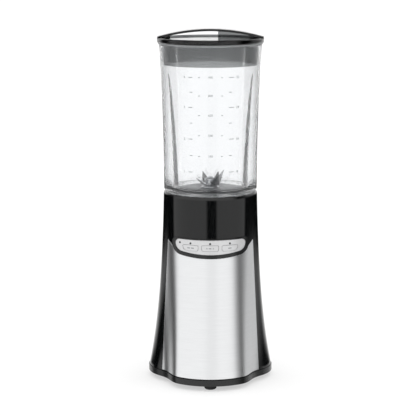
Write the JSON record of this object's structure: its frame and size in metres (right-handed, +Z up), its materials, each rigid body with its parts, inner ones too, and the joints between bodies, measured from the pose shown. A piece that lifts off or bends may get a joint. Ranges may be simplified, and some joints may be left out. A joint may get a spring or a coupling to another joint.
{
  "type": "countertop blender",
  "caption": "Countertop blender: clear flared jug with blades and a smoky lid with an arched handle on a tall flared base with a brushed steel front and a button panel.",
  "frame": {"origin": "on the table under the middle of the base, which is also under the jug's axis", "axes": "+Z up, -Y towards the control panel and the user, +X to the user's right"},
  "size_m": [0.1353, 0.1147, 0.38],
  "materials": {
    "clear_plastic": "clear polished",
    "smoke_plastic": "smoked translucent",
    "grey_rubber": "moulded",
    "black_rubber": "moulded",
    "black_gloss": "high gloss",
    "black_matte": "fine texture",
    "brushed_panel": "brushed round the base",
    "silver_paint": "satin silver",
    "lamp_lens": "tinted lens",
    "circuit_board": "solder resist",
    "core_steel": "laminated",
    "copper_wire": "enamelled copper",
    "bearing_steel": "ground",
    "zinc_steel": "zinc plated",
    "cast_bracket": "die cast",
    "brass_sheet": "drawn",
    "carbon": "sintered carbon",
    "blade_steel": "polished stainless",
    "collar_plastic": "satin",
    "white_plastic": "natural acetal"
  },
  "bodies": {
    "base": {"main_housing": "black_gloss", "steel_panel": "brushed_panel", "base_plate": "black_matte", "foot_front": "black_rubber", "foot_rear_right": "black_rubber", "foot_rear_left": "black_rubber", "plate_screws": "zinc_steel", "screw_post_frame": "black_matte", "cord_gland": "black_rubber", "jug_seat": "black_matte", "control_bezel": "black_gloss", "control_fascia": "silver_paint", "indicator_lamps": "lamp_lens", "control_board": "circuit_board", "tact_switches": "black_matte", "stator_core": "core_steel", "field_windings": "copper_wire", "lower_motor_bearing": "bearing_steel", "upper_motor_bearing": "bearing_steel", "lower_motor_bracket": "cast_bracket", "upper_motor_bracket": "cast_bracket", "motor_bolts": "zinc_steel", "brush_holder": "brass_sheet", "carbon_brushes": "carbon", "rubber_mounts": "black_rubber", "fan_shroud": "black_matte", "interlock_spring": "zinc_steel", "interlock_switch": "black_matte"},
    "rotor": {"motor_shaft": "bearing_steel", "armature_core": "core_steel", "armature_windings": "copper_wire", "commutator": "copper_wire", "cooling_fan": "black_matte", "slinger": "black_rubber", "drive_coupling": "black_matte"},
    "bearing_carrier": {"bearing_sleeve": "blade_steel", "lower_spindle_bush": "brass_sheet", "upper_spindle_bush": "brass_sheet", "shaft_seal": "black_rubber"},
    "blade_set": {"blade_shaft": "bearing_steel", "upper_blade": "blade_steel", "lower_blade": "blade_steel", "blade_washer": "blade_steel", "blade_nut": "blade_steel", "spindle_coupling": "black_matte", "retaining_clip": "bearing_steel"},
    "jug": {"cup": "clear_plastic", "blade_collar": "collar_plastic", "cup_seal": "grey_rubber"},
    "lid_assembly": {"lid": "smoke_plastic", "lid_gasket": "grey_rubber"},
    "plunger": {"interlock_plunger": "white_plastic"},
    "left_button": {"button_high": "silver_paint"},
    "centre_button": {"button_pulse": "silver_paint"},
    "right_button": {"button_low": "silver_paint"}
  },
  "joints": [
    {"name": "motor_spin", "type": "hinge", "parent": "base", "child": "rotor", "pos_m": [0, 0, 0.1], "axis": [0, 0, 1], "continuous": true},
    {"name": "jug_lift", "type": "slide", "parent": "base", "child": "bearing_carrier", "axis": [0, 0, 1], "range_m": [0, 0.06]},
    {"name": "blade_spin", "type": "hinge", "parent": "bearing_carrier", "child": "blade_set", "pos_m": [0, 0, 0.2], "axis": [0, 0, 1], "continuous": true},
    {"name": "jug_twist", "type": "hinge", "parent": "bearing_carrier", "child": "jug", "pos_m": [0, 0, 0.2], "axis": [0, 0, 1], "range_deg": [0, 40]},
    {"name": "lid_lift", "type": "slide", "parent": "jug", "child": "lid_assembly", "axis": [0, 0, 1], "range_m": [0, 0.05]},
    {"name": "interlock_press", "type": "slide", "parent": "base", "child": "plunger", "axis": [0, 0, -1], "range_m": [0, 0.0016], "deforming": ["interlock_spring"]},
    {"name": "left_button_press", "type": "slide", "parent": "base", "child": "left_button", "axis": [0, 1, 0], "range_m": [0, 0.0006], "stiffness_N_per_m": 800},
    {"name": "centre_button_press", "type": "slide", "parent": "base", "child": "centre_button", "axis": [0, 1, 0], "range_m": [0, 0.0006], "stiffness_N_per_m": 800},
    {"name": "right_button_press", "type": "slide", "parent": "base", "child": "right_button", "axis": [0, 1, 0], "range_m": [0, 0.0006], "stiffness_N_per_m": 800}
  ],
  "couplings": [
    {"joint": "blade_spin", "follows": "motor_spin", "ratio": 1},
    {"joint": "interlock_press", "follows": "jug_twist", "m_per_rad": 0.00229}
  ]
}
